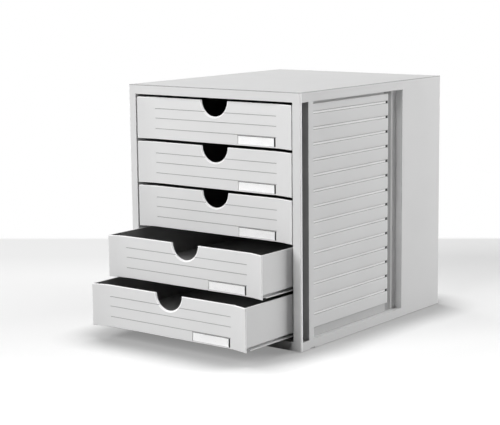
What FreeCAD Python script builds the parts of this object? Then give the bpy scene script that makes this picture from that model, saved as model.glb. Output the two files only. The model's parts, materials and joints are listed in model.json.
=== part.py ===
import FreeCAD, Part
import os
import re
import Sketcher
from FreeCAD import Vector

# File box with five pull-out drawers, in millimetres.
# X runs left to right, Y from the front to the back, Z upwards. The origin is
# the middle of the housing's footprint, on the surface that the box stands on.

SIZES = {
    # Housing, outside
    "width": 275.0,
    "depth": 330.0,
    "height": 320.0,
    "edge_round": 1.5,
    # Front frame
    "frame_depth": 3.9,
    "frame_stile": 11.3,
    "frame_bar": 12.1,
    "collar_depth": 8.0,
    # Side shells
    "shell_wall": 2.2,
    "return_wall": 2.0,
    "recess_depth": 10.0,
    "side_bar": 12.3,
    "slot_length": 13.7,
    "post_length": 10.0,
    "window_length": 204.4,
    "ledge_reach": 5.0,
    "ledge_wall": 2.0,
    "notch_length": 10.0,
    "notch_height": 1.4,
    # Top, base and rear panels
    "panel_wall": 2.4,
    "rear_wall": 2.2,
    "rib_height": 6.0,
    "rib_wall": 1.6,
    "seam_width": 0.8,
    "seam_front": 0.4,
    "seam_depth": 1.2,
    # Feet
    "foot_proud": 1.0,
    "foot_sunk": 0.8,
    "foot_radius": 7.0,
    "foot_chamfer": 0.4,
    "foot_margin": 26.0,
    # Slatted side panels with the drawer rails
    "carrier_wall": 2.8,
    "slat_edge": 1.5,
    "slat_crown": 0.25,
    "slat_bevel": 0.5,
    "slat_groove": 3.6,
    "slat_front_gap": 0.4,
    "slat_rear_gap": 27.0,
    "slat_overhang": 3.0,
    "slat_top_rise": 2.8,
    "slat_head_gap": 3.6,
    "carrier_low_gap": 0.3,
    "rail_rear_gap": 6.0,
    "lug_length": 6.0,
    # Drawers
    "front_top_gap": 3.75,
    "front_gap": 3.75,
    "front_bottom_gap": 5.8,
    "front_side_gap": 1.9,
    "front_wall": 2.2,
    "front_round": 0.9,
    "field_setback": 6.0,
    "wing_width": 22.0,
    "bend_radius": 90.0,
    "drawer_wall": 2.0,
    "floor_rise": 9.25,
    "skirt_lift": 5.9,
    "corner_radius": 4.0,
    "closing_gap": 0.5,
    "travel": 250.0,
    "pull_out_4": 61.5,
    "pull_out_5": 94.0,
    # Runner flanges and stop blocks under a drawer
    "web_inset": 7.2,
    "web_wall": 1.6,
    "flange_wall": 1.2,
    "flange_inset": 0.3,
    "flange_lift": 0.8,
    "flange_start": 9.0,
    "run_gap": 0.3,
    "stop_gap": 0.3,
    "block_length": 6.0,
    # Finger notch and trim grooves in a drawer's front
    "grip_radius": 20.5,
    "grip_bevel": 1.5,
    "groove_width": 0.8,
    "groove_depth": 0.4,
    "groove_margin": 4.5,
    # Label pocket, card and clear cover
    "label_length": 57.0,
    "label_height": 11.4,
    "label_lift": 1.5,
    "label_margin": 5.8,
    "card_slot": 2.0,
    "card_wall": 0.4,
    "card_trim": 0.3,
    "cover_wall": 0.8,
    # How far cutting shapes run past what they cut
    "overrun": 1.0,
}

DRAWER_COUNT = 5
SLATS_PER_DRAWER = 3
FULL_TURN = 360

# Heights of the trim grooves, as shares of a drawer front's height
TRIM_SHARES = (0.25, 0.5, 0.73)

# Two coordinates closer than this are taken as the same, in millimetres
SAME_PLACE = 0.01

# Places worked out from the sizes, written as text for the model's expressions
HALF_WIDTH = "(width / 2)"
FRONT_Y = "(-depth / 2)"
BACK_Y = "(depth / 2)"
FRAME_BACK = f"({FRONT_Y} + frame_depth)"
COLLAR_BACK = f"({FRAME_BACK} + collar_depth)"
REAR_PANEL_FACE = f"({BACK_Y} - rear_wall)"
OPENING_HALF = f"({HALF_WIDTH} - frame_stile)"
OPENING_TOP = "(height - frame_bar)"
RECESS_X = f"({HALF_WIDTH} - recess_depth)"
SHELL_X = f"({HALF_WIDTH} - shell_wall)"
BASE_TOP = "(foot_proud + panel_wall)"
TOP_UNDERSIDE = "(height - panel_wall)"
SIDE_LOW = "side_bar"
SIDE_HIGH = "(height - side_bar)"
SLOT_END = f"({FRAME_BACK} + slot_length)"
WINDOW_START = f"({SLOT_END} + post_length)"
WINDOW_END = f"({WINDOW_START} + window_length)"

# The drawer fronts share the opening's height, and the slats line up with them
GAPS = f"(front_top_gap + front_bottom_gap + {DRAWER_COUNT - 1} * front_gap)"
FRONT_HEIGHT = f"(({OPENING_TOP} - frame_bar - {GAPS}) / {DRAWER_COUNT})"
DRAWER_PITCH = f"({FRONT_HEIGHT} + front_gap)"
BOTTOM_DRAWER = "(frame_bar + front_bottom_gap)"
SLAT_PITCH = f"({DRAWER_PITCH} / {SLATS_PER_DRAWER})"
SLAT_HEIGHT = f"({SLAT_PITCH} - slat_groove)"

# Places on a drawer, in its own frame: X centred, Y = 0 at the frame's face
# when shut, Z = 0 at the bottom edge of its front
FRONT_HALF = f"({OPENING_HALF} - front_side_gap)"
FIELD_HALF = f"({FRONT_HALF} - wing_width)"
FIELD_BACK = "(field_setback + front_wall)"
INNER_HALF = f"({FRONT_HALF} - drawer_wall)"
DRAWER_END = "(depth - rear_wall - closing_gap)"
FLOOR_UNDER = "(floor_rise - drawer_wall)"
WEB_OUTER = f"({FRONT_HALF} - web_inset)"
WEB_INNER = f"({WEB_OUTER} - web_wall)"
FLANGE_OUTER = f"({FRONT_HALF} - flange_inset)"
FLANGE_TOP = "(flange_lift + flange_wall)"
RAIL_LOW = f"({FLANGE_TOP} + run_gap)"
RAIL_HIGH = "(skirt_lift - run_gap)"
RAIL_INNER = f"({WEB_OUTER} + run_gap)"
LUG_OUTER = f"({INNER_HALF} - run_gap)"
LUG_HIGH = f"({FLOOR_UNDER} - stop_gap)"
LUG_BACK = "(frame_depth + collar_depth + lug_length)"
BLOCK_START = f"({LUG_BACK} + travel + run_gap)"
LABEL_RIGHT = f"({FIELD_HALF} - label_margin - card_slot)"
LABEL_LEFT = f"({LABEL_RIGHT} - label_length)"
POCKET_DEPTH = "(card_wall + cover_wall)"

doc = FreeCAD.newDocument("file_box")
sheet = doc.addObject("Spreadsheet::Sheet", "sizes")
for row, (alias, size) in enumerate(SIZES.items(), start=1):
    sheet.set(f"A{row}", alias)
    sheet.set(f"B{row}", str(size))
    sheet.setAlias(f"B{row}", alias)
doc.recompute()


def bound(text):
    """The text with every size named as a cell of the sheet."""
    return re.sub(r"[a-z]\w*", lambda word: "sizes." + word.group(0), text)


def size_of(text):
    """The value in millimetres of an expression of sizes."""
    return float(sheet.evalExpression(bound(text)))


# Helpers for bodies, sketches and features


def new_body(label):
    body = doc.addObject("PartDesign::Body", label)
    body.Label = label
    return body


def place(body, x="0", y="0", z="0"):
    """Bind a sub-part's position to the sizes."""
    for letter, text in zip("xyz", (x, y, z)):
        if text != "0":
            body.setExpression(f"Placement.Base.{letter}", bound(text))


def sketch_on(body, plane, name, offset="0"):
    """A sketch on one of the body's origin planes, moved along its normal."""
    support = next(f for f in body.Origin.OriginFeatures if f.Role == plane + "_Plane")
    sketch = body.newObject("Sketcher::SketchObject", name)
    sketch.AttachmentSupport = [(support, "")]
    sketch.MapMode = "FlatFace"
    if offset != "0":
        sketch.setExpression("AttachmentOffset.Base.z", bound(offset))
    return sketch


def hold(sketch, kind, text, *where):
    """Add a dimension to a sketch and bind it to the sizes."""
    index = sketch.addConstraint(Sketcher.Constraint(kind, *where, size_of(text)))
    sketch.setExpression(f"Constraints[{index}]", bound(text))


def hold_point(sketch, edge, end, point):
    """Fix one end of an edge at a point given by two expressions."""
    hold(sketch, "DistanceX", point[0], -1, 1, edge, end)
    hold(sketch, "DistanceY", point[1], -1, 1, edge, end)


def outline(sketch, points):
    """A closed run of straight edges through points given as expressions."""
    corners = [Vector(size_of(across), size_of(up)) for across, up in points]
    edges = []
    for start, end in zip(corners, corners[1:] + corners[:1]):
        edges.append(sketch.addGeometry(Part.LineSegment(start, end)))
    for edge, following in zip(edges, edges[1:] + edges[:1]):
        sketch.addConstraint(Sketcher.Constraint("Coincident", edge, 2, following, 1))
    for edge, point in zip(edges, points):
        hold_point(sketch, edge, 1, point)


def rectangle(sketch, left, low, right, high):
    outline(sketch, [(left, low), (right, low), (right, high), (left, high)])


def both_sides(sketch, points):
    """The outline and its mirror image about the vertical axis."""
    outline(sketch, points)
    outline(sketch, [(f"(-{across})", up) for across, up in reversed(points)])


def pad(body, sketch, length, backwards=False):
    feature = body.newObject("PartDesign::Pad", sketch.Name + "_pad")
    feature.Profile = sketch
    feature.setExpression("Length", bound(length))
    feature.Reversed = backwards
    sketch.Visibility = False
    return feature


def pocket(body, sketch, depth, backwards=False):
    feature = body.newObject("PartDesign::Pocket", sketch.Name + "_pocket")
    feature.Profile = sketch
    feature.setExpression("Length", bound(depth))
    feature.Reversed = backwards
    return feature


def pattern(body, features, sketch, count, pitch, name):
    """Repeat features upwards, a given pitch apart."""
    feature = body.newObject("PartDesign::LinearPattern", name)
    feature.Originals = features
    feature.Direction = (sketch, ["V_Axis"])
    feature.setExpression("Length", bound(f"{count - 1} * {pitch}"))
    feature.Occurrences = count
    body.Tip = feature
    return feature


def edges_where(feature, test):
    """Names of the feature's edges whose ends and middle all pass a test."""
    names = []
    for index, edge in enumerate(feature.Shape.Edges, start=1):
        points = [vertex.Point for vertex in edge.Vertexes] + [edge.CenterOfMass]
        if all(map(test, points)):
            names.append(f"Edge{index}")
    return names


def round_edges(body, feature, test, radius, name, kind="Fillet"):
    """Round or bevel the edges of a feature that pass a test."""
    doc.recompute()
    dressed = body.newObject(f"PartDesign::{kind}", name)
    dressed.Base = (feature, edges_where(feature, test))
    dressed.setExpression("Radius" if kind == "Fillet" else "Size", bound(radius))
    doc.recompute()
    return dressed


def near(value, text):
    return abs(value - size_of(text)) < SAME_PLACE


def mirrored(source, label):
    """The same piece for the left side."""
    copy = doc.addObject("Part::Mirroring", label)
    copy.Label = label
    copy.Source = source
    copy.Normal = Vector(1, 0, 0)
    return copy


# Housing


def make_front_frame():
    """Ring round the drawers, with a collar that locates the side panels."""
    body = new_body("front_frame")
    ring = sketch_on(body, "XZ", "frame_ring", f"(-{FRAME_BACK})")
    rectangle(ring, f"(-{HALF_WIDTH})", "foot_proud", HALF_WIDTH, "height")
    rectangle(ring, f"(-{OPENING_HALF})", "frame_bar", OPENING_HALF, OPENING_TOP)
    face = pad(body, ring, "frame_depth")

    def outer(point):
        at_front = near(point.y, FRONT_Y)
        at_side = near(abs(point.x), HALF_WIDTH)
        return at_side and (at_front or near(point.z, "height"))

    round_edges(body, face, outer, "edge_round", "frame_rounding")
    collar = sketch_on(body, "XZ", "frame_collar", f"(-{COLLAR_BACK})")
    wall = f"({RECESS_X} - {OPENING_HALF})"
    rectangle(collar, f"(-{RECESS_X})", f"(frame_bar - {wall})", RECESS_X, f"({OPENING_TOP} + {wall})")
    rectangle(collar, f"(-{OPENING_HALF})", "frame_bar", OPENING_HALF, OPENING_TOP)
    pad(body, collar, "collar_depth")
    return body


def make_side_shell():
    """Outer side wall: an upright slot and a window, with their returns."""
    body = new_body("side_shell_right")
    wall = sketch_on(body, "YZ", "shell_wall_outline", SHELL_X)
    outline(wall, [
        (FRAME_BACK, "foot_proud"),
        (BACK_Y, "foot_proud"),
        (BACK_Y, "height"),
        (FRAME_BACK, "height"),
        (FRAME_BACK, SIDE_HIGH),
        (SLOT_END, SIDE_HIGH),
        (SLOT_END, SIDE_LOW),
        (FRAME_BACK, SIDE_LOW),
    ])
    rectangle(wall, WINDOW_START, SIDE_LOW, WINDOW_END, SIDE_HIGH)
    face = pad(body, wall, "shell_wall")

    def outer(point):
        at_face = near(point.x, HALF_WIDTH)
        return at_face and (near(point.z, "height") or near(point.y, BACK_Y))

    round_edges(body, face, outer, "edge_round", "shell_rounding")
    returns = sketch_on(body, "YZ", "shell_returns", RECESS_X)
    rectangle(returns, WINDOW_START, SIDE_LOW, WINDOW_END, SIDE_HIGH)
    rectangle(
        returns,
        f"({WINDOW_START} - return_wall)",
        f"({SIDE_LOW} - return_wall)",
        f"({WINDOW_END} + return_wall)",
        f"({SIDE_HIGH} + return_wall)",
    )
    outline(returns, [
        (FRAME_BACK, f"({SIDE_LOW} - return_wall)"),
        (f"({SLOT_END} + return_wall)", f"({SIDE_LOW} - return_wall)"),
        (f"({SLOT_END} + return_wall)", f"({SIDE_HIGH} + return_wall)"),
        (FRAME_BACK, f"({SIDE_HIGH} + return_wall)"),
        (FRAME_BACK, SIDE_HIGH),
        (SLOT_END, SIDE_HIGH),
        (SLOT_END, SIDE_LOW),
        (FRAME_BACK, SIDE_LOW),
    ])
    pad(body, returns, "recess_depth - shell_wall")
    ledges = sketch_on(body, "YZ", "shell_ledges", f"({SHELL_X} - ledge_reach)")
    rectangle(ledges, FRAME_BACK, f"({TOP_UNDERSIDE} - ledge_wall)", REAR_PANEL_FACE, TOP_UNDERSIDE)
    rectangle(ledges, FRAME_BACK, BASE_TOP, REAR_PANEL_FACE, f"({BASE_TOP} + ledge_wall)")
    pad(body, ledges, "ledge_reach")
    notch = sketch_on(body, "YZ", "shell_notch", HALF_WIDTH)
    rectangle(
        notch,
        f"({SLOT_END} + return_wall)",
        "(foot_proud - overrun)",
        f"({SLOT_END} + return_wall + notch_length)",
        "(foot_proud + notch_height)",
    )
    pocket(body, notch, "shell_wall")
    return body


def make_runner_panel():
    """Inner side wall: slats on the outside, drawer rails on the inside."""
    body = new_body("runner_panel_right")
    wall = sketch_on(body, "YZ", "runner_wall_outline", OPENING_HALF)
    rectangle(wall, COLLAR_BACK, BASE_TOP, REAR_PANEL_FACE, TOP_UNDERSIDE)
    pad(body, wall, f"{RECESS_X} - {OPENING_HALF}")
    slat_count = DRAWER_COUNT * SLATS_PER_DRAWER
    slats_top = f"({SIDE_HIGH} + slat_top_rise)"
    slat_low = f"({slats_top} - {SLAT_HEIGHT} - {slat_count - 1} * {SLAT_PITCH})"
    slat_start = f"({WINDOW_START} + slat_front_gap)"
    slat_end = f"({WINDOW_END} - slat_rear_gap)"
    carrier = sketch_on(body, "YZ", "slat_carrier", RECESS_X)
    carrier_low = f"({SIDE_LOW} + carrier_low_gap)"
    carrier_high = f"({SIDE_HIGH} - slat_head_gap)"
    rectangle(carrier, slat_start, carrier_low, f"({slat_end} - slat_overhang)", carrier_high)
    pad(body, carrier, "carrier_wall")
    slat = sketch_on(body, "XZ", "slat_section", f"(-{slat_end})")
    slat_section(slat, slat_low)
    first_slat = pad(body, slat, f"{slat_end} - {slat_start}")
    pattern(body, [first_slat], slat, slat_count, SLAT_PITCH, "slats")
    head = sketch_on(body, "YZ", "slat_head_cut", RECESS_X)
    rectangle(head, slat_start, carrier_high, slat_end, slats_top)
    pocket(body, head, "carrier_wall + slat_edge + slat_crown", backwards=True)
    rail = sketch_on(body, "XZ", "rail_section", f"(-({REAR_PANEL_FACE} - rail_rear_gap))")
    low = f"({BOTTOM_DRAWER} + {RAIL_LOW})"
    high = f"({BOTTOM_DRAWER} + {RAIL_HIGH})"
    rectangle(rail, RAIL_INNER, low, OPENING_HALF, high)
    first_rail = pad(body, rail, f"{REAR_PANEL_FACE} - rail_rear_gap - {COLLAR_BACK}")
    lug = sketch_on(body, "XZ", "lug_section", f"(-({COLLAR_BACK} + lug_length))")
    rectangle(lug, RAIL_INNER, high, LUG_OUTER, f"({BOTTOM_DRAWER} + {LUG_HIGH})")
    first_lug = pad(body, lug, "lug_length")
    pattern(body, [first_rail, first_lug], rail, DRAWER_COUNT, DRAWER_PITCH, "rails")
    return body


def slat_section(sketch, low):
    """One slat: upright edges, small bevels and a shallow crowned face."""
    edge_x = f"({RECESS_X} + carrier_wall + slat_edge)"
    flank_x = f"({edge_x} - slat_bevel)"
    high = f"({low} + {SLAT_HEIGHT})"
    half = f"({SLAT_HEIGHT} / 2 - slat_bevel)"
    radius = f"(({half} * {half} + slat_crown * slat_crown) / (2 * slat_crown))"
    corners = [
        (edge_x, f"({high} - slat_bevel)"),
        (flank_x, high),
        (RECESS_X, high),
        (RECESS_X, low),
        (flank_x, low),
        (edge_x, f"({low} + slat_bevel)"),
    ]
    points = [Vector(size_of(across), size_of(up)) for across, up in corners]
    crown = Vector(size_of(f"{edge_x} + slat_crown"), size_of(f"{low} + {SLAT_HEIGHT} / 2"))
    lines = []
    for start, end in zip(points, points[1:]):
        lines.append(sketch.addGeometry(Part.LineSegment(start, end)))
    arc = sketch.addGeometry(Part.Arc(points[-1], crown, points[0]))
    for line, following in zip(lines, lines[1:]):
        sketch.addConstraint(Sketcher.Constraint("Coincident", line, 2, following, 1))
    sketch.addConstraint(Sketcher.Constraint("Coincident", lines[-1], 2, arc, 1))
    sketch.addConstraint(Sketcher.Constraint("Coincident", lines[0], 1, arc, 2))
    for line, corner in zip(lines, corners):
        hold_point(sketch, line, 1, corner)
    hold_point(sketch, lines[-1], 2, corners[-1])
    hold(sketch, "Radius", radius, arc)


def make_flat_panel(label, low, rib_low, foot_recesses):
    """Top or base: a plate between the side shells, with two locating ribs."""
    body = new_body(label)
    plate = sketch_on(body, "XY", label + "_plate", low)
    rectangle(plate, f"(-{SHELL_X})", FRAME_BACK, SHELL_X, BACK_Y)
    face = pad(body, plate, "panel_wall")
    if not foot_recesses:
        round_edges(
            body,
            face,
            lambda point: near(point.z, "height") and near(point.y, BACK_Y),
            "edge_round",
            label + "_rounding",
        )
        cut_seam(body)
    ribs = sketch_on(body, "XY", label + "_ribs", rib_low)
    both_sides(ribs, [
        (f"({OPENING_HALF} - rib_wall)", COLLAR_BACK),
        (OPENING_HALF, COLLAR_BACK),
        (OPENING_HALF, REAR_PANEL_FACE),
        (f"({OPENING_HALF} - rib_wall)", REAR_PANEL_FACE),
    ])
    pad(body, ribs, "rib_height")
    if foot_recesses:
        wells = sketch_on(body, "XY", label + "_wells", "foot_proud")
        for x, y in foot_places():
            round_outline(wells, x, y, "foot_radius")
        pocket(body, wells, "foot_sunk", backwards=True)
    return body


def cut_seam(body):
    """A fine reveal where the top panel meets the side shells and the frame."""
    seam_x = f"({SHELL_X} - seam_width)"
    seam_y = f"({FRAME_BACK} + seam_front)"
    seam = sketch_on(body, "XY", "top_seam", "height")
    outline(seam, [
        (f"(-{SHELL_X})", FRAME_BACK),
        (SHELL_X, FRAME_BACK),
        (SHELL_X, BACK_Y),
        (seam_x, BACK_Y),
        (seam_x, seam_y),
        (f"(-{seam_x})", seam_y),
        (f"(-{seam_x})", BACK_Y),
        (f"(-{SHELL_X})", BACK_Y),
    ])
    pocket(body, seam, "seam_depth")


def foot_places():
    """The four feet, front left, front right, rear left and rear right."""
    x = f"({HALF_WIDTH} - foot_margin)"
    y = f"({BACK_Y} - foot_margin)"
    return [(f"(-{x})", f"(-{y})"), (x, f"(-{y})"), (f"(-{x})", y), (x, y)]


def round_outline(sketch, x, y, radius):
    centre = Vector(size_of(x), size_of(y))
    circle = sketch.addGeometry(Part.Circle(centre, Vector(0, 0, 1), size_of(radius)))
    hold_point(sketch, circle, 3, (x, y))
    hold(sketch, "Radius", radius, circle)


def make_rear_panel():
    body = new_body("rear_panel")
    plate = sketch_on(body, "XZ", "rear_plate", f"(-{BACK_Y})")
    rectangle(plate, f"(-{SHELL_X})", BASE_TOP, SHELL_X, TOP_UNDERSIDE)
    pad(body, plate, "rear_wall")
    return body


def make_foot(label, x, y):
    """A rubber pad that sits in its well in the base panel."""
    body = new_body(label)
    disc = sketch_on(body, "XY", label + "_disc")
    centre = Vector(0, 0, 0)
    circle = disc.addGeometry(Part.Circle(centre, Vector(0, 0, 1), size_of("foot_radius")))
    disc.addConstraint(Sketcher.Constraint("Coincident", circle, 3, -1, 1))
    hold(disc, "Radius", "foot_radius", circle)
    pad_feature = pad(body, disc, "foot_proud + foot_sunk")
    round_edges(
        body,
        pad_feature,
        lambda point: near(point.z, "0"),
        "foot_chamfer",
        label + "_bevel",
        "Chamfer",
    )
    place(body, x, y)
    return body


# Drawers


def front_line(inset):
    """Plan of the front's face, moved back: wings forward, field set back."""
    return [
        (f"(-{FRONT_HALF})", inset),
        (f"(-{FIELD_HALF})", f"(field_setback + {inset})"),
        (FIELD_HALF, f"(field_setback + {inset})"),
        (FRONT_HALF, inset),
    ]


def wall_line(inset):
    """The same line where the inside faces of the drawer's sides meet it."""
    setback = f"(field_setback * drawer_wall / wing_width + {inset})"
    field = f"(field_setback + {inset})"
    return [
        (f"(-{INNER_HALF})", setback),
        (f"(-{FIELD_HALF})", field),
        (FIELD_HALF, field),
        (INNER_HALF, setback),
    ]


def make_drawer(number, pull_out):
    """One moulded drawer, with drawer 1 at the top of the box."""
    tag = f"drawer_{number}"
    body = new_body(tag)
    add_front(body, tag)
    add_tray(body, tag)
    add_runners(body, tag)
    cut_grip(body, tag)
    cut_trim_grooves(body, tag)
    cut_label_pocket(body, tag)
    place_on_drawer(body, number, pull_out)
    return body


def place_on_drawer(body, number, pull_out):
    steps_up = DRAWER_COUNT - number
    place(body, y=f"{FRONT_Y} - {pull_out}", z=f"{BOTTOM_DRAWER} + {steps_up} * {DRAWER_PITCH}")


def add_front(body, tag):
    """The front plate, bent in plan, with soft bends and rounded edges."""
    plan = sketch_on(body, "XY", tag + "_front_plan")
    outline(plan, front_line("0") + front_line("front_wall")[::-1])
    plate = pad(body, plan, FRONT_HEIGHT)
    bends = round_edges(
        body,
        plate,
        lambda point: near(abs(point.x), FIELD_HALF),
        "bend_radius",
        tag + "_bends",
    )

    def on_rim(point):
        wing = max(abs(point.x) - size_of(FIELD_HALF), 0) / size_of("wing_width")
        face_y = size_of("field_setback") * (1 - wing)
        at_face = point.y < face_y + size_of("front_wall") / 2
        at_end = near(abs(point.x), FRONT_HALF)
        level = near(point.z, FRONT_HEIGHT) or near(point.z, "0")
        return at_face and (at_end or level)

    round_edges(body, bends, on_rim, "front_round", tag + "_front_rounding")


def add_tray(body, tag):
    """Sides, rear wall and floor behind the front plate."""
    rear = [(FRONT_HALF, DRAWER_END), (f"(-{FRONT_HALF})", DRAWER_END)]
    block = sketch_on(body, "XY", tag + "_tray_plan", "skirt_lift")
    outline(block, front_line("(front_wall / 2)") + rear)
    pad(body, block, f"{FRONT_HEIGHT} - skirt_lift")
    inner_end = f"({DRAWER_END} - drawer_wall)"
    inner_rear = [(INNER_HALF, inner_end), (f"(-{INNER_HALF})", inner_end)]
    inside = sketch_on(body, "XY", tag + "_inside_plan", "floor_rise")
    outline(inside, wall_line("front_wall") + inner_rear)
    pocket(body, inside, f"{FRONT_HEIGHT} - floor_rise + overrun", backwards=True)
    under = sketch_on(body, "XY", tag + "_underside_plan", "(skirt_lift - overrun)")
    outline(under, wall_line("front_wall") + inner_rear)
    hollow = pocket(body, under, f"{FLOOR_UNDER} - skirt_lift + overrun", backwards=True)

    def outer_corner(point):
        return near(abs(point.x), FRONT_HALF) and near(point.y, DRAWER_END)

    outer = round_edges(body, hollow, outer_corner, "corner_radius", tag + "_outer_corners")

    def inner_corner(point):
        at_corner = near(abs(point.x), INNER_HALF) and near(point.y, inner_end)
        return at_corner and point.z > size_of("floor_rise") - SAME_PLACE

    radius = "corner_radius - drawer_wall"
    round_edges(body, outer, inner_corner, radius, tag + "_inner_corners")


def add_runners(body, tag):
    """Webs and flanges that hook under the rails, and the stop blocks."""
    web_end = f"({DRAWER_END} - corner_radius)"
    web_start = f"(field_setback / wing_width * ({FRONT_HALF} - {WEB_OUTER}) + front_wall)"
    web = sketch_on(body, "XY", tag + "_web_plan", "flange_lift")
    both_sides(web, [
        (WEB_INNER, web_start),
        (WEB_OUTER, web_start),
        (WEB_OUTER, web_end),
        (WEB_INNER, web_end),
    ])
    pad(body, web, f"{FLOOR_UNDER} + drawer_wall / 2 - flange_lift")
    flange = sketch_on(body, "XY", tag + "_flange_plan", "flange_lift")
    both_sides(flange, [
        (WEB_INNER, "flange_start"),
        (FLANGE_OUTER, "flange_start"),
        (FLANGE_OUTER, web_end),
        (WEB_INNER, web_end),
    ])
    pad(body, flange, "flange_wall")
    blocks = sketch_on(body, "XY", tag + "_block_plan", f"({RAIL_HIGH} + stop_gap)")
    both_sides(blocks, [
        (WEB_INNER, BLOCK_START),
        (LUG_OUTER, BLOCK_START),
        (LUG_OUTER, f"({BLOCK_START} + block_length)"),
        (WEB_INNER, f"({BLOCK_START} + block_length)"),
    ])
    pad(body, blocks, f"{FLOOR_UNDER} + drawer_wall / 2 - {RAIL_HIGH} - stop_gap")


def cut_grip(body, tag):
    """Half-round finger notch in the top edge, bevelled at the front."""
    section = sketch_on(body, "YZ", tag + "_grip_section")
    section.setExpression("AttachmentOffset.Base.y", bound(FRONT_HEIGHT))
    outline(section, [
        ("(field_setback - overrun)", "0"),
        ("(field_setback - overrun)", "(-(grip_radius + grip_bevel))"),
        ("field_setback", "(-(grip_radius + grip_bevel))"),
        ("(field_setback + grip_bevel)", "(-grip_radius)"),
        (f"({FIELD_BACK} + overrun)", "(-grip_radius)"),
        (f"({FIELD_BACK} + overrun)", "0"),
    ])
    grip = body.newObject("PartDesign::Groove", tag + "_grip")
    grip.Profile = section
    grip.ReferenceAxis = (section, ["H_Axis"])
    grip.Angle = FULL_TURN
    doc.recompute()


def cut_trim_grooves(body, tag):
    """Fine level grooves across the field."""
    grooves = sketch_on(body, "XZ", tag + "_groove_faces")
    half = f"({FIELD_HALF} - groove_margin)"
    for share in TRIM_SHARES:
        middle = f"{FRONT_HEIGHT} * {share}"
        low = f"({middle} - groove_width / 2)"
        rectangle(grooves, f"(-{half})", low, half, f"({middle} + groove_width / 2)")
    pocket(body, grooves, "field_setback + groove_depth")


def cut_label_pocket(body, tag):
    """Shallow pocket for card and cover, and the slot the card goes in by."""
    label_top = "(label_lift + label_height)"
    face = sketch_on(body, "XZ", tag + "_label_face")
    rectangle(face, LABEL_LEFT, "label_lift", f"({LABEL_RIGHT} + card_slot)", label_top)
    pocket(body, face, f"field_setback + {POCKET_DEPTH}")
    slot = sketch_on(body, "XZ", tag + "_slot_face")
    rectangle(slot, LABEL_RIGHT, "label_lift", f"({LABEL_RIGHT} + card_slot)", label_top)
    pocket(body, slot, f"{FIELD_BACK} + overrun")


def make_label_strip(label, number, pull_out, back, thickness, trim):
    """A thin strip in the label pocket: the card, or the cover before it."""
    body = new_body(label)
    face = sketch_on(body, "XZ", label + "_face", f"(-{back})")
    low = f"(label_lift + {trim})"
    high = f"(label_lift + label_height - {trim})"
    rectangle(face, f"({LABEL_LEFT} + {trim})", low, f"({LABEL_RIGHT} - {trim})", high)
    pad(body, face, thickness)
    place_on_drawer(body, number, pull_out)
    return body


# The whole box

subparts = [make_front_frame()]
right_shell = make_side_shell()
right_runners = make_runner_panel()
subparts += [right_shell, mirrored(right_shell, "side_shell_left")]
subparts += [right_runners, mirrored(right_runners, "runner_panel_left")]
subparts.append(make_flat_panel("top_panel", TOP_UNDERSIDE, f"({TOP_UNDERSIDE} - rib_height)", False))
subparts.append(make_flat_panel("base_panel", "foot_proud", BASE_TOP, True))
subparts.append(make_rear_panel())
foot_names = ["foot_front_left", "foot_front_right", "foot_rear_left", "foot_rear_right"]
for foot_name, (foot_x, foot_y) in zip(foot_names, foot_places()):
    subparts.append(make_foot(foot_name, foot_x, foot_y))
pull_outs = {4: "pull_out_4", 5: "pull_out_5"}
card_back = f"(field_setback + {POCKET_DEPTH})"
cover_back = "(field_setback + cover_wall)"
for number in range(1, DRAWER_COUNT + 1):
    opened = pull_outs.get(number, "0")
    subparts.append(make_drawer(number, opened))
    card = f"label_card_{number}"
    cover = f"label_cover_{number}"
    subparts.append(make_label_strip(card, number, opened, card_back, "card_wall", "card_trim"))
    subparts.append(make_label_strip(cover, number, opened, cover_back, "cover_wall", "0"))
doc.recompute()

# Every feature has to have worked, and every cut has to have cut something
for item in doc.Objects:
    if "Invalid" in item.State or "Error" in item.State:
        raise RuntimeError(f"{item.Label} did not compute: {item.State}")
    if item.TypeId in ("PartDesign::Pocket", "PartDesign::Groove"):
        if item.Shape.Volume >= item.BaseFeature.Shape.Volume:
            raise RuntimeError(f"{item.Label} cuts nothing")
for subpart in subparts:
    if subpart.Shape.isNull() or not subpart.Shape.isValid():
        raise RuntimeError(f"{subpart.Label} has no valid shape")
    if len(subpart.Shape.Solids) != 1:
        raise RuntimeError(f"{subpart.Label} is not one solid")

os.makedirs("parts", exist_ok=True)
for subpart in subparts:
    subpart.Shape.exportStep(f"parts/{subpart.Label}.step")
    box = subpart.Shape.BoundBox
    corners = [box.XMin, box.YMin, box.ZMin, box.XMax, box.YMax, box.ZMax]
    print(subpart.Label, [round(corner, 2) for corner in corners], round(subpart.Shape.Volume))
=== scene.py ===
import json
import math
from types import SimpleNamespace

import bpy
from mathutils import Matrix, Vector


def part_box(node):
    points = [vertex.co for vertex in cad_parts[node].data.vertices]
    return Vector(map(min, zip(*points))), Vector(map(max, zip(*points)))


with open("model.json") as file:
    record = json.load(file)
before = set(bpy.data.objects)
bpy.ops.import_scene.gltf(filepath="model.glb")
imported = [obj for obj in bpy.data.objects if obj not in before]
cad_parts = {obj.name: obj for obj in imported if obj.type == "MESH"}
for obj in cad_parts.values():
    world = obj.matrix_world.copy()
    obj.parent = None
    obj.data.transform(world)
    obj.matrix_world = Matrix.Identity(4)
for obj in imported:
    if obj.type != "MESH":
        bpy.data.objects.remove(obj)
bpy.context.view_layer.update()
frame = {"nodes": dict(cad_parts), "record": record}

# The housing stands on the floor plane with its footprint's middle at the
# origin. X runs to the right, Y to the back and Z upwards, all in metres.

MM = 0.001

# Camera, fitted to the housing's corners in the photograph
CAMERA_PLACE = Vector((1.1558, -1.5812, 0.4642))
CAMERA_AZIMUTH = math.radians(37.72)
CAMERA_ELEVATION = math.radians(9.39)
CAMERA_ROLL = math.radians(-0.63)
SENSOR_WIDTH = 36.0
FOCAL_LENGTH = 105.2

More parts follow.
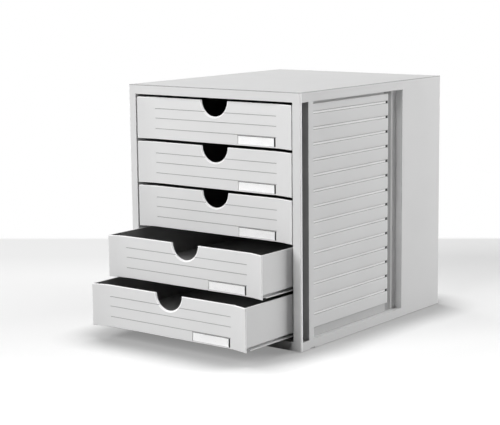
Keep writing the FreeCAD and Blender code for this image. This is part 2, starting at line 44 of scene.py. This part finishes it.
# Floor: pale, and white beyond a level line behind the box and far from it
FLOOR_HALF = 6.0
FLOOR_EDGE = 0.556
FLOOR_TILT = 0.057
FLOOR_EDGE_BLUR = 0.02
FLOOR_FADE_START = 1.2
FLOOR_FADE_END = 2.4
FLOOR_LEVEL = 0.55
FLOOR_BOUNCE = 0.35

# The floor's own glow, which falls off from before the box to behind it
GLOW_START = -0.3
GLOW_END = 0.4
GLOW_NEAR = 0.50
GLOW_FAR = 0.21

# Shade on the floor where the box stands close to it
CONTACT_REACH = 0.065
CONTACT_DEPTH = 1.6
CONTACT_LEAST = 0.55

# Light that reaches the box from all round, and the point the lamps aim at
WORLD_FILL = 0.01
LAMP_AIM = Vector((0.0, 0.0, 0.15))

# Drawers: one moulded piece each, seen from the outside of its front
DRAWERS = 5
DRAWER_PITCH = 58.0 * MM
DRAWER_WALL = 2.0 * MM
WING_WIDTH = 22.0 * MM
FIELD_SETBACK = 6.0 * MM
FRONT_WALL = 2.2 * MM
FLOOR_RISE = 9.25 * MM
GRIP_RADIUS = 20.5 * MM
CARD_SLOT = 2.0 * MM
COVER_EDGE = 0.5 * MM
TRIM_SHARES = (0.25, 0.5, 0.73)
TRIM_WIDTH = 0.8 * MM
TRIM_DEPTH = 0.4 * MM

# How far a mask reaches past the faces that it covers
MASK_MARGIN = 0.15 * MM

# Widths of the painted highlights along the rims of a drawer's front and round its
# finger notch
RIM_HIGHLIGHT_WIDTH = 0.8 * MM
GRIP_HIGHLIGHT_WIDTH = 2.2 * MM

# Housing: the upright slot behind the front frame, which is painted dark as shade, and
# its outer edges
SLOT_LENGTH = 13.7 * MM
SLOT_WALL = 2.0 * MM
EDGE_BAND = 1.0 * MM
FRAME_DEPTH = 3.9 * MM

# Slats: their pitch and grooves, and the lines of painted shade along each groove
SLATS_PER_DRAWER = 3
SLAT_PITCH = DRAWER_PITCH / SLATS_PER_DRAWER
SLAT_GROOVE = 3.6 * MM
SLAT_LOW = 24.1 * MM
SLAT_FLANK = 3.6 * MM
SLAT_END = 40.0 * MM
SLAT_OVERHANG = 3.0 * MM
SHADE_LINE_WIDTH = 0.6 * MM

# Recess behind the slats: its stretch of painted shade, its rear wall, and the painted
# shade behind the grooves' ends
RECESS_SHADE_LENGTH = 13.0 * MM
RECESS_FADE = 4.0 * MM
WINDOW_END = 67.0 * MM
GROOVE_END_SHADE_REACH = 5.5 * MM
GROOVE_END_SHADE_DROP = 0.8 * MM

# Levels of the plastic, and of the painted shade and highlights on it: 0 is black, 1 is
# white
HOUSING_LEVEL = 0.70
DRAWER_LEVEL = 0.74
INSIDE_SHADE_LEVEL = 0.30
DEEP_SHADE_LEVEL = 0.04
TRIM_SHADE_LEVEL = 0.36
HIGHLIGHT_LEVEL = 0.95
SLOT_SHADE_LEVEL = 0.30
EDGE_LEVEL = 0.40
GROOVE_SHADE_LEVEL = 0.40
GROOVE_LIFT_LEVEL = 0.85
LEDGE_SHADE_LEVEL = 0.50
RECESS_LIFT_LEVEL = 0.95
RECESS_SHADE_LEVEL = 0.36
WINDOW_END_LIFT_LEVEL = 0.90

# Surface of the plastic: a soft mottle and a fine moulded grain. Noise scales
# are per metre, and a mottle's range is in shares of the level.
MOTTLE_SCALE = 14.0
MOTTLE_DETAIL = 3.0
MOTTLE_RANGE = (0.985, 1.015)
ZONE_MOTTLE_RANGE = (0.95, 1.05)
GRAIN_SCALE = 2600.0
GRAIN_DETAIL = 1.0
GRAIN_ROUGHNESS = (0.48, 0.56)
GRAIN_STRENGTH = 0.25
GRAIN_DEPTH = 0.04 * MM
PLASTIC_GLOSS = 0.04

# Surfaces of the paper cards, their clear covers and the rubber feet
FIBRE_SCALE = 900.0
FIBRE_DETAIL = 4.0
PAPER_LEVELS = (0.95, 0.99)
PAPER_ROUGHNESS = 0.8
RIPPLE_SCALE = 60.0
RIPPLE_STRENGTH = 0.1
RIPPLE_DEPTH = 0.2 * MM
COVER_ROUGHNESS = 0.08
COVER_IOR = 1.4
SPECKLE_SCALE = 1500.0
SPECKLE_DETAIL = 3.0
RUBBER_LEVELS = (0.012, 0.022)
RUBBER_ROUGHNESS = 0.75

# Noise seldom leaves this range
NOISE_LOW = 0.3
NOISE_HIGH = 0.7

# Sockets of Blender's Mix node that carry colours
MIX_FIRST = 6
MIX_SECOND = 7
MIX_RESULT = 2


# Node helpers


class Shader:
    """A node tree being built, of a material or of the world."""

    def __init__(self, owner, output="OutputMaterial"):
        owner.use_nodes = True
        self.owner = owner
        self.tree = owner.node_tree
        self.tree.nodes.clear()
        self.output = self.node(output)

    def finish(self, surface):
        """Join the surface to the output, and return the material or world."""
        self.join(surface, self.output.inputs["Surface"])
        return self.owner

    def node(self, kind, inputs=None, **settings):
        """Add a node with its settings, and its inputs by name or number."""
        made = self.tree.nodes.new("ShaderNode" + kind)
        for key, value in settings.items():
            setattr(made, key, value)
        for key, value in (inputs or {}).items():
            self.join(value, made.inputs[key])
        return made

    def join(self, value, socket):
        """Feed a socket from a node or another socket, or set a plain value."""
        if isinstance(value, bpy.types.Node):
            value = value.outputs[0]
        if isinstance(value, bpy.types.NodeSocket):
            self.tree.links.new(value, socket)
        else:
            socket.default_value = value

    def math(self, operation, first, second=0.0, clamp=False):
        inputs = {0: first, 1: second}
        made = self.node("Math", inputs, operation=operation, use_clamp=clamp)
        return made.outputs[0]

    def absolute(self, value):
        return self.math("ABSOLUTE", value)

    def radius(self, first, second):
        """Length of the vector that has these two parts."""
        squares = [self.math("MULTIPLY", part, part) for part in (first, second)]
        return self.math("SQRT", self.math("ADD", *squares))

    def above(self, value, edge):
        """1 where the value is over the edge, else 0."""
        return self.math("GREATER_THAN", value, edge)

    def below(self, value, edge):
        return self.invert(self.above(value, edge))

    def between(self, value, low, high):
        return self.both(self.above(value, low), self.below(value, high))

    def both(self, *masks):
        result = masks[0]
        for mask in masks[1:]:
            result = self.math("MULTIPLY", result, mask)
        return result

    def either(self, *masks):
        result = masks[0]
        for mask in masks[1:]:
            result = self.math("MAXIMUM", result, mask)
        return result

    def invert(self, mask):
        return self.math("SUBTRACT", 1.0, mask)

    def place(self):
        """The surface point in the piece's own axes, which ride with it.

        Given as one vector, and as its parts x, y and z.
        """
        where = self.node("TexCoord").outputs["Object"]
        x, y, z = self.node("SeparateXYZ", {0: where}).outputs
        return where, SimpleNamespace(x=x, y=y, z=z)

    def noise(self, where, scale, detail=2.0):
        inputs = {"Vector": where, "Scale": scale, "Detail": detail}
        return self.node("TexNoise", inputs).outputs[0]

    def map_range(self, value, start, end, low=0.0, high=1.0):
        """Map values from start to end to the range low to high."""
        inputs = {
            "Value": value,
            "From Min": start,
            "From Max": end,
            "To Min": low,
            "To Max": high,
        }
        return self.node("MapRange", inputs).outputs[0]

    def spread(self, noise, low=0.0, high=1.0):
        """Map noise to the range low to high."""
        return self.map_range(noise, NOISE_LOW, NOISE_HIGH, low, high)

    def blend(self, share, first, second):
        """Colour blend: the first where share is 0, the second where it is 1."""
        inputs = {"Factor": share, MIX_FIRST: first, MIX_SECOND: second}
        return self.node("Mix", inputs, data_type="RGBA").outputs[MIX_RESULT]

    def mix(self, share, first, second):
        """The same blend for two surfaces."""
        return self.node("MixShader", {0: share, 1: first, 2: second})

    def bump(self, height, strength, distance):
        inputs = {"Height": height, "Strength": strength, "Distance": distance}
        return self.node("Bump", inputs)


def grey(level):
    return (level, level, level, 1.0)


def greys(level, shares):
    """The greys that a level's mottle runs between."""
    return [grey(level * share) for share in shares]


# Masks: each takes a shader and its surface point, and is 1 inside its zone


def front_face(number):
    """Y of the flat field of a drawer's front."""
    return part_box(f"label_cover_{number}")[0].y


def behind_face(shader, point, number, depth):
    """1 for points more than a depth behind the bent face of a drawer's front."""
    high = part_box(f"drawer_{number}")[1]
    past_field = shader.math("SUBTRACT", shader.absolute(point.x), high.x - WING_WIDTH)
    wing = shader.math("DIVIDE", past_field, WING_WIDTH, clamp=True)
    forward = shader.math("MULTIPLY", wing, FIELD_SETBACK)
    edge = shader.math("SUBTRACT", front_face(number) + depth, forward)
    return shader.above(point.y, edge)


def drawer_inside_shade(number):
    """The inside faces of one drawer, painted dark as shade."""
    low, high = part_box(f"drawer_{number}")
    half = high.x - DRAWER_WALL + MASK_MARGIN
    rear = high.y - DRAWER_WALL + MASK_MARGIN
    floor = low.z + FLOOR_RISE - MASK_MARGIN

    def mask(shader, point):
        return shader.both(
            shader.between(point.x, -half, half),
            behind_face(shader, point, number, FRONT_WALL - MASK_MARGIN),
            shader.below(point.y, rear),
            shader.between(point.z, floor, high.z - MASK_MARGIN),
        )

    return mask


def front_rim_highlights(number):
    """The edges of a drawer's front and of its finger notch, with a painted highlight.
    """
    low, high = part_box(f"drawer_{number}")

    def mask(shader, point):
        down = shader.math("SUBTRACT", point.z, high.z)
        rims = shader.either(
            shader.above(point.z, high.z - RIM_HIGHLIGHT_WIDTH),
            shader.below(point.z, low.z + RIM_HIGHLIGHT_WIDTH),
            shader.above(shader.absolute(point.x), high.x - RIM_HIGHLIGHT_WIDTH),
            shader.below(shader.radius(point.x, down), GRIP_RADIUS + GRIP_HIGHLIGHT_WIDTH),
        )
        behind = behind_face(shader, point, number, FRONT_WALL - MASK_MARGIN)
        return shader.both(rims, shader.invert(behind))

    return mask


def trim_line_shade(number):
    """The fine grooves across a drawer's front, painted dark as shade."""
    low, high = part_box(f"drawer_{number}")
    face = front_face(number) + MASK_MARGIN
    middles = [low.z + share * (high.z - low.z) for share in TRIM_SHARES]
    reach = TRIM_WIDTH / 2 + MASK_MARGIN

    def mask(shader, point):
        bands = [
            shader.between(point.z, middle - reach, middle + reach)
            for middle in middles
        ]
        return shader.both(
            shader.either(*bands),
            shader.between(point.y, face, face + TRIM_DEPTH),
            shader.below(shader.absolute(point.x), high.x - WING_WIDTH),
        )

    return mask


def card_slot_shade(number):
    """The slit at a label's right end, where its card slides in, painted near black as
    shade.
    """
    low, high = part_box(f"label_cover_{number}")
    right = high.x + CARD_SLOT + MASK_MARGIN
    rear = low.y + FRONT_WALL + MASK_MARGIN

    def mask(shader, point):
        return shader.both(
            shader.between(point.x, high.x - MASK_MARGIN, right),
            shader.between(point.y, low.y + MASK_MARGIN, rear),
            shader.between(point.z, low.z - MASK_MARGIN, high.z + MASK_MARGIN),
        )

    return mask


def side_slot_shade(shader, point):
    """The narrow upright slots behind the front frame, on both sides, painted dark as
    shade.
    """
    low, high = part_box("side_shell_right")
    aside = shader.absolute(point.x)
    return shader.both(
        shader.between(aside, low.x - MASK_MARGIN, high.x - MASK_MARGIN),
        shader.between(point.y, low.y + MASK_MARGIN, low.y + SLOT_LENGTH + MASK_MARGIN),
        shader.between(point.z, low.z + SLOT_WALL, high.z - SLOT_WALL),
    )


def top_edges(shader, point):
    """A fine darker line where the top meets the front and the sides."""
    low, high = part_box("front_frame")
    outside = shader.either(
        shader.above(shader.absolute(point.x), high.x - EDGE_BAND),
        shader.below(point.y, low.y + EDGE_BAND),
    )
    return shader.both(outside, shader.above(point.z, high.z - EDGE_BAND))


def front_corner_highlights(shader, point):
    """The frame's upright front corners, with a painted highlight."""
    low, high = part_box("front_frame")
    return shader.both(
        shader.above(shader.absolute(point.x), high.x - EDGE_BAND),
        shader.below(point.y, low.y + FRAME_DEPTH),
        shader.below(point.z, high.z - EDGE_BAND),
    )


def recess_plane():
    """Distance of the recess's floor from the housing's middle plane."""
    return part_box("side_shell_right")[0].x


def slat_rise(shader, point):
    """Height above the lower edge of the slat at the point."""
    return shader.math("MODULO", shader.math("SUBTRACT", point.z, SLAT_LOW), SLAT_PITCH)


def in_grooves(shader, point):
    """1 behind the slats' faces and above the lowest slat's lower edge."""
    near, far = recess_plane() + MASK_MARGIN, recess_plane() + SLAT_FLANK
    sunk = shader.between(shader.absolute(point.x), near, far)
    return shader.both(sunk, shader.above(point.z, SLAT_LOW))


# Groove floors, painted lighter to lift the shade in the grooves.
def groove_floors(shader, point):
    rise = slat_rise(shader, point)
    return shader.both(
        in_grooves(shader, point),
        shader.above(rise, SLAT_PITCH - SLAT_GROOVE),
    )


def groove_shade_lines(shader, point):
    """A fine line of painted shade along both edges of each groove between the slats.
    """
    rise = slat_rise(shader, point)
    groove = SLAT_PITCH - SLAT_GROOVE
    lines = shader.either(
        shader.between(rise, groove - MASK_MARGIN, groove + SHADE_LINE_WIDTH),
        shader.above(rise, SLAT_PITCH - SHADE_LINE_WIDTH),
    )
    return shader.both(in_grooves(shader, point), lines)


def slat_end_highlights(shader, point):
    """The slats' rear ends, with a painted highlight."""
    return shader.both(
        shader.above(shader.absolute(point.x), recess_plane() + SLAT_FLANK - RIM_HIGHLIGHT_WIDTH),
        shader.above(point.y, SLAT_END - RIM_HIGHLIGHT_WIDTH),
    )


def recess_floor(shader, point):
    """The flat of the recess behind the slats' rear ends."""
    near, far = recess_plane() - MASK_MARGIN, recess_plane() + MASK_MARGIN
    return shader.both(
        shader.between(shader.absolute(point.x), near, far),
        shader.above(point.y, SLAT_END - SLAT_OVERHANG),
    )


def window_ends(shader, point):
    """The wall that closes the recess at its rear, on both sides, painted lighter to
    lift its shade.
    """
    low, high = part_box("side_shell_right")
    aside = shader.absolute(point.x)
    return shader.both(
        shader.between(aside, low.x + MASK_MARGIN, high.x - EDGE_BAND),
        shader.between(point.y, WINDOW_END - MASK_MARGIN, WINDOW_END + MASK_MARGIN),
    )


def recess_shade_by_slats(shader, point):
    """Painted shade on the recess next to the slats, fading out towards the back."""
    past = shader.math("SUBTRACT", point.y, SLAT_END + RECESS_SHADE_LENGTH)
    fade = shader.math("DIVIDE", past, RECESS_FADE, clamp=True)
    return shader.both(recess_floor(shader, point), shader.invert(fade))


def groove_end_shade(shader, point):
    """Painted shade on the recess floor behind the open rear ends of the grooves."""
    rise = slat_rise(shader, point)
    return shader.both(
        recess_floor(shader, point),
        shader.above(point.z, SLAT_LOW),
        shader.above(rise, SLAT_PITCH - SLAT_GROOVE - GROOVE_END_SHADE_DROP),
        shader.below(point.y, SLAT_END + GROOVE_END_SHADE_REACH),
    )


def below_slats_shade(shader, point):
    """The strip of panel under the lowest slat, painted dark as shade."""
    near, far = recess_plane() + MASK_MARGIN, recess_plane() + SLAT_FLANK
    return shader.both(
        shader.between(shader.absolute(point.x), near, far),
        shader.below(point.z, SLAT_LOW - MASK_MARGIN),
    )


# Materials


def moulded(name, level, zones):
    """Pale matt plastic with a soft mottle, a moulded grain and uneven gloss.

    Each zone is a mask over the piece and the level painted there, most of them painted
    shade or highlights.
    """
    shader = Shader(bpy.data.materials.new(name))
    where, point = shader.place()
    mottle = shader.spread(shader.noise(where, MOTTLE_SCALE, MOTTLE_DETAIL))
    grain = shader.noise(where, GRAIN_SCALE, GRAIN_DETAIL)
    colour = shader.blend(mottle, *greys(level, MOTTLE_RANGE))
    for zone, zone_level in zones:
        shade = shader.blend(mottle, *greys(zone_level, ZONE_MOTTLE_RANGE))
        colour = shader.blend(zone(shader, point), colour, shade)
    surface = {
        "Base Color": colour,
        "Roughness": shader.spread(grain, *GRAIN_ROUGHNESS),
        "Specular IOR Level": PLASTIC_GLOSS,
        "Normal": shader.bump(grain, GRAIN_STRENGTH, GRAIN_DEPTH),
    }
    return shader.finish(shader.node("BsdfPrincipled", surface))


def speckled(name, scale, detail, levels, roughness):
    """A matt material whose grey runs between two levels."""
    shader = Shader(bpy.data.materials.new(name))
    speckle = shader.spread(shader.noise(shader.place()[0], scale, detail))
    surface = {
        "Base Color": shader.blend(speckle, *(grey(level) for level in levels)),
        "Roughness": roughness,
    }
    return shader.finish(shader.node("BsdfPrincipled", surface))


def clear_cover(number):
    """Clear strip with gloss on its outside, and painted shade along its top and right
    end.
    """
    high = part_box(f"label_cover_{number}")[1]
    shader = Shader(bpy.data.materials.new(f"label_cover_{number}"))
    where, point = shader.place()
    ripple = shader.noise(where, RIPPLE_SCALE)
    normal = shader.bump(ripple, RIPPLE_STRENGTH, RIPPLE_DEPTH)
    gloss = shader.node("BsdfGlossy", {"Roughness": COVER_ROUGHNESS, "Normal": normal})
    fresnel = shader.node("Fresnel", {"IOR": COVER_IOR})
    outside = shader.invert(shader.node("NewGeometry").outputs["Backfacing"])
    share = shader.both(fresnel.outputs[0], outside)
    strip = shader.mix(share, shader.node("BsdfTransparent"), gloss)
    edges = shader.either(
        shader.above(point.x, high.x - COVER_EDGE),
        shader.above(point.z, high.z - COVER_EDGE),
    )
    # painted shade along the strip's top and right end
    rim = shader.node("BsdfDiffuse", {"Color": grey(DEEP_SHADE_LEVEL)})
    return shader.finish(shader.mix(edges, strip, rim))


def dress(node, material):
    """Give a CAD node its material."""
    data = frame["nodes"][node].data
    data.materials.clear()
    data.materials.append(material)


def dress_housing():
    plastic = moulded(
        "housing_plastic",
        HOUSING_LEVEL,
        [
            # painted shade in the upright slots
            (side_slot_shade, SLOT_SHADE_LEVEL),
            (top_edges, EDGE_LEVEL),
            # painted highlight on the frame's front corners
            (front_corner_highlights, HIGHLIGHT_LEVEL),
            # recess rear wall painted lighter to lift its shade
            (window_ends, WINDOW_END_LIFT_LEVEL),
        ],
    )
    slatted = moulded(
        "slatted_plastic",
        HOUSING_LEVEL,
        [
            # painted shade in the upright slots
            (side_slot_shade, SLOT_SHADE_LEVEL),
            # groove floors painted lighter to lift their shade
            (groove_floors, GROOVE_LIFT_LEVEL),
            # painted shade lines along the grooves' edges
            (groove_shade_lines, GROOVE_SHADE_LEVEL),
            # painted shade on the strip under the lowest slat
            (below_slats_shade, LEDGE_SHADE_LEVEL),
            # recess floor painted lighter to lift its shade
            (recess_floor, RECESS_LIFT_LEVEL),
            # painted shade on the recess next to the slats
            (recess_shade_by_slats, RECESS_SHADE_LEVEL),
            # painted highlight on the slats' rear ends
            (slat_end_highlights, HIGHLIGHT_LEVEL),
            # painted shade behind the grooves' rear ends
            (groove_end_shade, DEEP_SHADE_LEVEL),
        ],
    )
    rubber = speckled(
        "foot_rubber", SPECKLE_SCALE, SPECKLE_DETAIL, RUBBER_LEVELS, RUBBER_ROUGHNESS
    )
    for node in frame["record"]["behaviour"]["bodies"]["housing"]:
        if node.startswith("foot_"):
            dress(node, rubber)
        elif node.startswith("runner_panel_"):
            dress(node, slatted)
        else:
            dress(node, plastic)


def dress_drawers():
    card = speckled(
        "label_card", FIBRE_SCALE, FIBRE_DETAIL, PAPER_LEVELS, PAPER_ROUGHNESS
    )
    for number in range(1, DRAWERS + 1):
        zones = [
            # painted highlight along the front's rims and round its finger notch
            (front_rim_highlights(number), HIGHLIGHT_LEVEL),
            # painted shade in the fine grooves across the front
            (trim_line_shade(number), TRIM_SHADE_LEVEL),
            # painted shade on the drawer's inside faces
            (drawer_inside_shade(number), INSIDE_SHADE_LEVEL),
            # painted shade in the card slit
            (card_slot_shade(number), DEEP_SHADE_LEVEL),
        ]
        plastic = moulded(f"drawer_plastic_{number}", DRAWER_LEVEL, zones)
        dress(f"drawer_{number}", plastic)
        dress(f"label_card_{number}", card)
        dress(f"label_cover_{number}", clear_cover(number))


# Stage


def camera_heading():
    """Level unit vector from the camera towards the box."""
    return Vector((-math.sin(CAMERA_AZIMUTH), math.cos(CAMERA_AZIMUTH), 0.0))


def make_camera():
    level, drop = math.cos(CAMERA_ELEVATION), math.sin(CAMERA_ELEVATION)
    forward = camera_heading() * level - Vector((0.0, 0.0, drop))
    right = forward.cross(Vector((0.0, 0.0, 1.0))).normalized()
    up = right.cross(forward)
    turn_cos, turn_sin = math.cos(CAMERA_ROLL), math.sin(CAMERA_ROLL)
    rolled_right = turn_cos * right + turn_sin * up
    rolled_up = turn_cos * up - turn_sin * right
    data = bpy.data.cameras.new("camera")
    data.lens = FOCAL_LENGTH
    data.sensor_width = SENSOR_WIDTH
    camera = bpy.data.objects.new("camera", data)
    turn = Matrix((rolled_right, rolled_up, -forward)).transposed()
    camera.matrix_world = Matrix.Translation(CAMERA_PLACE) @ turn.to_4x4()
    bpy.context.scene.collection.objects.link(camera)
    bpy.context.scene.camera = camera


def distance_behind(shader, point):
    """How far a point is behind the box's middle, along the line of sight.

    The small tilt makes a line of equal distance level in the picture.
    """
    heading = camera_heading()
    heading += FLOOR_TILT * Vector((heading.y, -heading.x, 0.0))
    return shader.math(
        "ADD",
        shader.math("MULTIPLY", point.x, heading.x),
        shader.math("MULTIPLY", point.y, heading.y),
    )


def floor_material():
    """Pale floor that takes the box's shadow and turns white further away.

    The glow and the white are there only for rays from the camera and those
    that gloss or glass sends on, so they add no light to the box.
    """
    shader = Shader(bpy.data.materials.new("floor"))
    point = shader.place()[1]
    behind = distance_behind(shader, point)
    path = shader.node("LightPath")
    looked_at = path.outputs["Is Camera Ray"]
    seen = shader.either(
        looked_at, path.outputs["Is Glossy Ray"], path.outputs["Is Transmission Ray"]
    )
    nearness = shader.node("AmbientOcclusion", {"Distance": CONTACT_REACH})
    contact = shader.math("POWER", nearness.outputs["AO"], CONTACT_DEPTH)
    contact = shader.math("MAXIMUM", contact, CONTACT_LEAST)
    colour = shader.blend(looked_at, grey(FLOOR_BOUNCE), grey(FLOOR_LEVEL))
    colour = shader.blend(contact, grey(0.0), colour)
    glow = shader.map_range(behind, GLOW_START, GLOW_END, GLOW_NEAR, GLOW_FAR)
    glow = shader.both(glow, seen, contact)
    pale = shader.node(
        "AddShader",
        {
            0: shader.node("BsdfDiffuse", {"Color": colour}),
            1: shader.node("Emission", {"Strength": glow}),
        },
    )
    away = shader.radius(point.x, point.y)
    white_share = shader.either(
        shader.map_range(behind, FLOOR_EDGE, FLOOR_EDGE + FLOOR_EDGE_BLUR),
        shader.map_range(away, FLOOR_FADE_START, FLOOR_FADE_END),
    )
    white = shader.node("Emission")
    return shader.finish(shader.mix(shader.both(white_share, seen), pale, white))


def make_floor():
    half = FLOOR_HALF
    mesh = bpy.data.meshes.new("floor")
    corners = [(-half, -half, 0), (half, -half, 0), (half, half, 0), (-half, half, 0)]
    mesh.from_pydata(corners, [], [(0, 1, 2, 3)])
    mesh.materials.append(floor_material())
    floor = bpy.data.objects.new("floor", mesh)
    bpy.context.scene.collection.objects.link(floor)


def make_world():
    """White behind everything, and a faint fill light on the box."""
    shader = Shader(bpy.data.worlds.new("studio"), "OutputWorld")
    path = shader.node("LightPath").outputs
    seen = shader.either(path["Is Camera Ray"], path["Is Transmission Ray"])
    fill = shader.node("Background", {"Color": grey(1.0), "Strength": WORLD_FILL})
    white = shader.node("Background", {"Color": grey(1.0)})
    bpy.context.scene.world = shader.finish(shader.mix(seen, fill, white))


def add_lamp(name, azimuth, elevation, distance, size, power):
    """A square soft lamp aimed at the box, placed by angles in degrees.

    The camera doesn't see it.
    """
    turn, rise = math.radians(azimuth), math.radians(elevation)
    level = math.cos(rise)
    away = Vector((math.sin(turn) * level, -math.cos(turn) * level, math.sin(rise)))
    data = bpy.data.lights.new(name, "AREA")
    data.shape = "SQUARE"
    data.size = size
    data.energy = power
    lamp = bpy.data.objects.new(name, data)
    lamp.location = away * distance + LAMP_AIM
    lamp.rotation_mode = "QUATERNION"
    lamp.rotation_quaternion = away.to_track_quat("Z", "Y")
    lamp.visible_camera = False
    bpy.context.scene.collection.objects.link(lamp)


def make_lamps():
    add_lamp("front", azimuth=-10, elevation=30, distance=3.0, size=2.0, power=86)
    add_lamp("left", azimuth=-100, elevation=50, distance=2.6, size=1.4, power=30)
    add_lamp("rear", azimuth=143, elevation=20, distance=3.5, size=2.4, power=153)


dress_housing()
dress_drawers()
make_floor()
make_world()
make_lamps()
make_camera()
bpy.context.scene.view_settings.view_transform = "Standard"
